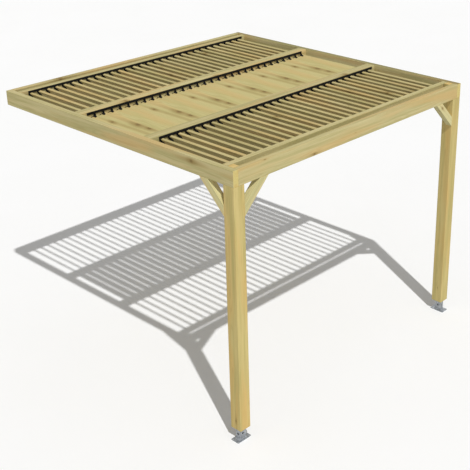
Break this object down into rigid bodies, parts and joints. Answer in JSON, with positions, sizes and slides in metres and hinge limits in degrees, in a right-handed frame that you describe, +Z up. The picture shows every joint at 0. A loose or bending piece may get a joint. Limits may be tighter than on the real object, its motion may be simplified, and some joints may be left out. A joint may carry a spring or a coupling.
{
  "type": "lean-to wooden pergola with turning roof slats",
  "caption": "Lean-to pergola of treated pine on front posts, with knee braces and a roof of turning slats worked by black control bars.",
  "frame": {"origin": "centre of the wall beam's back face, on the wall", "axes": "+X to the right along the front, +Y back into the wall, +Z up"},
  "size_m": [3.0365, 3.0285, 2.449],
  "materials": {
    "frame_timber": "planed pressure-treated pine, yellow-green, matte",
    "slat_timber": "planed pressure-treated pine slats, matte",
    "black_steel": "black powder coat",
    "galvanised_steel": "hot-dip galvanised"
  },
  "bodies": {
    "frame": {"wall_beam": "frame_timber", "front_beam": "frame_timber", "left_side_beam": "frame_timber", "left_post": "frame_timber", "left_foot": "galvanised_steel", "left_front_brace": "frame_timber", "left_side_brace": "frame_timber", "right_side_beam": "frame_timber", "right_post": "frame_timber", "right_foot": "galvanised_steel", "right_front_brace": "frame_timber", "right_side_brace": "frame_timber", "front_bay_front_rail": "frame_timber", "front_bay_back_rail": "frame_timber", "middle_bay_front_rail": "frame_timber", "middle_bay_back_rail": "frame_timber", "rear_bay_front_rail": "frame_timber", "rear_bay_back_rail": "frame_timber", "middle_control_bar": "black_steel", "middle_slats": "slat_timber", "rear_control_bar": "black_steel", "rear_slats": "slat_timber"},
    "front_slat_01": {"front_slat_01": "slat_timber"},
    "front_slat_02": {"front_slat_02": "slat_timber"},
    "front_slat_03": {"front_slat_03": "slat_timber"},
    "front_slat_04": {"front_slat_04": "slat_timber"},
    "front_slat_05": {"front_slat_05": "slat_timber"},
    "front_slat_06": {"front_slat_06": "slat_timber"},
    "front_slat_07": {"front_slat_07": "slat_timber"},
    "front_slat_08": {"front_slat_08": "slat_timber"},
    "front_slat_09": {"front_slat_09": "slat_timber"},
    "front_slat_10": {"front_slat_10": "slat_timber"},
    "front_slat_11": {"front_slat_11": "slat_timber"},
    "front_slat_12": {"front_slat_12": "slat_timber"},
    "front_slat_13": {"front_slat_13": "slat_timber"},
    "front_slat_14": {"front_slat_14": "slat_timber"},
    "front_slat_15": {"front_slat_15": "slat_timber"},
    "front_slat_16": {"front_slat_16": "slat_timber"},
    "front_slat_17": {"front_slat_17": "slat_timber"},
    "front_slat_18": {"front_slat_18": "slat_timber"},
    "front_slat_19": {"front_slat_19": "slat_timber"},
    "front_slat_20": {"front_slat_20": "slat_timber"},
    "front_slat_21": {"front_slat_21": "slat_timber"},
    "front_slat_22": {"front_slat_22": "slat_timber"},
    "front_slat_23": {"front_slat_23": "slat_timber"},
    "front_slat_24": {"front_slat_24": "slat_timber"},
    "front_slat_25": {"front_slat_25": "slat_timber"},
    "front_slat_26": {"front_slat_26": "slat_timber"},
    "front_slat_27": {"front_slat_27": "slat_timber"},
    "front_slat_28": {"front_slat_28": "slat_timber"},
    "front_slat_29": {"front_slat_29": "slat_timber"},
    "front_slat_30": {"front_slat_30": "slat_timber"},
    "front_bar": {"front_control_bar": "black_steel"}
  },
  "joints": [
    {"name": "front_slat_01_turn", "type": "hinge", "parent": "frame", "child": "front_slat_01", "pos_m": [-1.3456, -2.426, 0.0095], "axis": [0, 1, 0], "range_deg": [0, 90]},
    {"name": "front_slat_02_turn", "type": "hinge", "parent": "frame", "child": "front_slat_02", "pos_m": [-1.2528, -2.426, 0.0095], "axis": [0, 1, 0], "range_deg": [0, 90]},
    {"name": "front_slat_03_turn", "type": "hinge", "parent": "frame", "child": "front_slat_03", "pos_m": [-1.16, -2.426, 0.0095], "axis": [0, 1, 0], "range_deg": [0, 90]},
    {"name": "front_slat_04_turn", "type": "hinge", "parent": "frame", "child": "front_slat_04", "pos_m": [-1.0672, -2.426, 0.0095], "axis": [0, 1, 0], "range_deg": [0, 90]},
    {"name": "front_slat_05_turn", "type": "hinge", "parent": "frame", "child": "front_slat_05", "pos_m": [-0.9744, -2.426, 0.0095], "axis": [0, 1, 0], "range_deg": [0, 90]},
    {"name": "front_slat_06_turn", "type": "hinge", "parent": "frame", "child": "front_slat_06", "pos_m": [-0.8816, -2.426, 0.0095], "axis": [0, 1, 0], "range_deg": [0, 90]},
    {"name": "front_slat_07_turn", "type": "hinge", "parent": "frame", "child": "front_slat_07", "pos_m": [-0.7888, -2.426, 0.0095], "axis": [0, 1, 0], "range_deg": [0, 90]},
    {"name": "front_slat_08_turn", "type": "hinge", "parent": "frame", "child": "front_slat_08", "pos_m": [-0.696, -2.426, 0.0095], "axis": [0, 1, 0], "range_deg": [0, 90]},
    {"name": "front_slat_09_turn", "type": "hinge", "parent": "frame", "child": "front_slat_09", "pos_m": [-0.6032, -2.426, 0.0095], "axis": [0, 1, 0], "range_deg": [0, 90]},
    {"name": "front_slat_10_turn", "type": "hinge", "parent": "frame", "child": "front_slat_10", "pos_m": [-0.5104, -2.426, 0.0095], "axis": [0, 1, 0], "range_deg": [0, 90]},
    {"name": "front_slat_11_turn", "type": "hinge", "parent": "frame", "child": "front_slat_11", "pos_m": [-0.4176, -2.426, 0.0095], "axis": [0, 1, 0], "range_deg": [0, 90]},
    {"name": "front_slat_12_turn", "type": "hinge", "parent": "frame", "child": "front_slat_12", "pos_m": [-0.3248, -2.426, 0.0095], "axis": [0, 1, 0], "range_deg": [0, 90]},
    {"name": "front_slat_13_turn", "type": "hinge", "parent": "frame", "child": "front_slat_13", "pos_m": [-0.232, -2.426, 0.0095], "axis": [0, 1, 0], "range_deg": [0, 90]},
    {"name": "front_slat_14_turn", "type": "hinge", "parent": "frame", "child": "front_slat_14", "pos_m": [-0.1392, -2.426, 0.0095], "axis": [0, 1, 0], "range_deg": [0, 90]},
    {"name": "front_slat_15_turn", "type": "hinge", "parent": "frame", "child": "front_slat_15", "pos_m": [-0.0464, -2.426, 0.0095], "axis": [0, 1, 0], "range_deg": [0, 90]},
    {"name": "front_slat_16_turn", "type": "hinge", "parent": "frame", "child": "front_slat_16", "pos_m": [0.0464, -2.426, 0.0095], "axis": [0, 1, 0], "range_deg": [0, 90]},
    {"name": "front_slat_17_turn", "type": "hinge", "parent": "frame", "child": "front_slat_17", "pos_m": [0.1392, -2.426, 0.0095], "axis": [0, 1, 0], "range_deg": [0, 90]},
    {"name": "front_slat_18_turn", "type": "hinge", "parent": "frame", "child": "front_slat_18", "pos_m": [0.232, -2.426, 0.0095], "axis": [0, 1, 0], "range_deg": [0, 90]},
    {"name": "front_slat_19_turn", "type": "hinge", "parent": "frame", "child": "front_slat_19", "pos_m": [0.3248, -2.426, 0.0095], "axis": [0, 1, 0], "range_deg": [0, 90]},
    {"name": "front_slat_20_turn", "type": "hinge", "parent": "frame", "child": "front_slat_20", "pos_m": [0.4176, -2.426, 0.0095], "axis": [0, 1, 0], "range_deg": [0, 90]},
    {"name": "front_slat_21_turn", "type": "hinge", "parent": "frame", "child": "front_slat_21", "pos_m": [0.5104, -2.426, 0.0095], "axis": [0, 1, 0], "range_deg": [0, 90]},
    {"name": "front_slat_22_turn", "type": "hinge", "parent": "frame", "child": "front_slat_22", "pos_m": [0.6032, -2.426, 0.0095], "axis": [0, 1, 0], "range_deg": [0, 90]},
    {"name": "front_slat_23_turn", "type": "hinge", "parent": "frame", "child": "front_slat_23", "pos_m": [0.696, -2.426, 0.0095], "axis": [0, 1, 0], "range_deg": [0, 90]},
    {"name": "front_slat_24_turn", "type": "hinge", "parent": "frame", "child": "front_slat_24", "pos_m": [0.7888, -2.426, 0.0095], "axis": [0, 1, 0], "range_deg": [0, 90]},
    {"name": "front_slat_25_turn", "type": "hinge", "parent": "frame", "child": "front_slat_25", "pos_m": [0.8816, -2.426, 0.0095], "axis": [0, 1, 0], "range_deg": [0, 90]},
    {"name": "front_slat_26_turn", "type": "hinge", "parent": "frame", "child": "front_slat_26", "pos_m": [0.9744, -2.426, 0.0095], "axis": [0, 1, 0], "range_deg": [0, 90]},
    {"name": "front_slat_27_turn", "type": "hinge", "parent": "frame", "child": "front_slat_27", "pos_m": [1.0672, -2.426, 0.0095], "axis": [0, 1, 0], "range_deg": [0, 90]},
    {"name": "front_slat_28_turn", "type": "hinge", "parent": "frame", "child": "front_slat_28", "pos_m": [1.16, -2.426, 0.0095], "axis": [0, 1, 0], "range_deg": [0, 90]},
    {"name": "front_slat_29_turn", "type": "hinge", "parent": "frame", "child": "front_slat_29", "pos_m": [1.2528, -2.426, 0.0095], "axis": [0, 1, 0], "range_deg": [0, 90]},
    {"name": "front_slat_30_turn", "type": "hinge", "parent": "frame", "child": "front_slat_30", "pos_m": [1.3456, -2.426, 0.0095], "axis": [0, 1, 0], "range_deg": [0, 90]},
    {"name": "front_bar_pivot", "type": "hinge", "parent": "front_slat_15", "child": "front_bar", "pos_m": [-0.06974, -2.019, 0.03284], "axis": [0, 1, 0], "range_deg": [-90, 0]}
  ],
  "couplings": [
    {"joint": "front_slat_01_turn", "follows": "front_slat_15_turn", "ratio": 1},
    {"joint": "front_slat_02_turn", "follows": "front_slat_15_turn", "ratio": 1},
    {"joint": "front_slat_03_turn", "follows": "front_slat_15_turn", "ratio": 1},
    {"joint": "front_slat_04_turn", "follows": "front_slat_15_turn", "ratio": 1},
    {"joint": "front_slat_05_turn", "follows": "front_slat_15_turn", "ratio": 1},
    {"joint": "front_slat_06_turn", "follows": "front_slat_15_turn", "ratio": 1},
    {"joint": "front_slat_07_turn", "follows": "front_slat_15_turn", "ratio": 1},
    {"joint": "front_slat_08_turn", "follows": "front_slat_15_turn", "ratio": 1},
    {"joint": "front_slat_09_turn", "follows": "front_slat_15_turn", "ratio": 1},
    {"joint": "front_slat_10_turn", "follows": "front_slat_15_turn", "ratio": 1},
    {"joint": "front_slat_11_turn", "follows": "front_slat_15_turn", "ratio": 1},
    {"joint": "front_slat_12_turn", "follows": "front_slat_15_turn", "ratio": 1},
    {"joint": "front_slat_13_turn", "follows": "front_slat_15_turn", "ratio": 1},
    {"joint": "front_slat_14_turn", "follows": "front_slat_15_turn", "ratio": 1},
    {"joint": "front_slat_16_turn", "follows": "front_slat_15_turn", "ratio": 1},
    {"joint": "front_slat_17_turn", "follows": "front_slat_15_turn", "ratio": 1},
    {"joint": "front_slat_18_turn", "follows": "front_slat_15_turn", "ratio": 1},
    {"joint": "front_slat_19_turn", "follows": "front_slat_15_turn", "ratio": 1},
    {"joint": "front_slat_20_turn", "follows": "front_slat_15_turn", "ratio": 1},
    {"joint": "front_slat_21_turn", "follows": "front_slat_15_turn", "ratio": 1},
    {"joint": "front_slat_22_turn", "follows": "front_slat_15_turn", "ratio": 1},
    {"joint": "front_slat_23_turn", "follows": "front_slat_15_turn", "ratio": 1},
    {"joint": "front_slat_24_turn", "follows": "front_slat_15_turn", "ratio": 1},
    {"joint": "front_slat_25_turn", "follows": "front_slat_15_turn", "ratio": 1},
    {"joint": "front_slat_26_turn", "follows": "front_slat_15_turn", "ratio": 1},
    {"joint": "front_slat_27_turn", "follows": "front_slat_15_turn", "ratio": 1},
    {"joint": "front_slat_28_turn", "follows": "front_slat_15_turn", "ratio": 1},
    {"joint": "front_slat_29_turn", "follows": "front_slat_15_turn", "ratio": 1},
    {"joint": "front_slat_30_turn", "follows": "front_slat_15_turn", "ratio": 1},
    {"joint": "front_bar_pivot", "follows": "front_slat_15_turn", "ratio": -1}
  ]
}
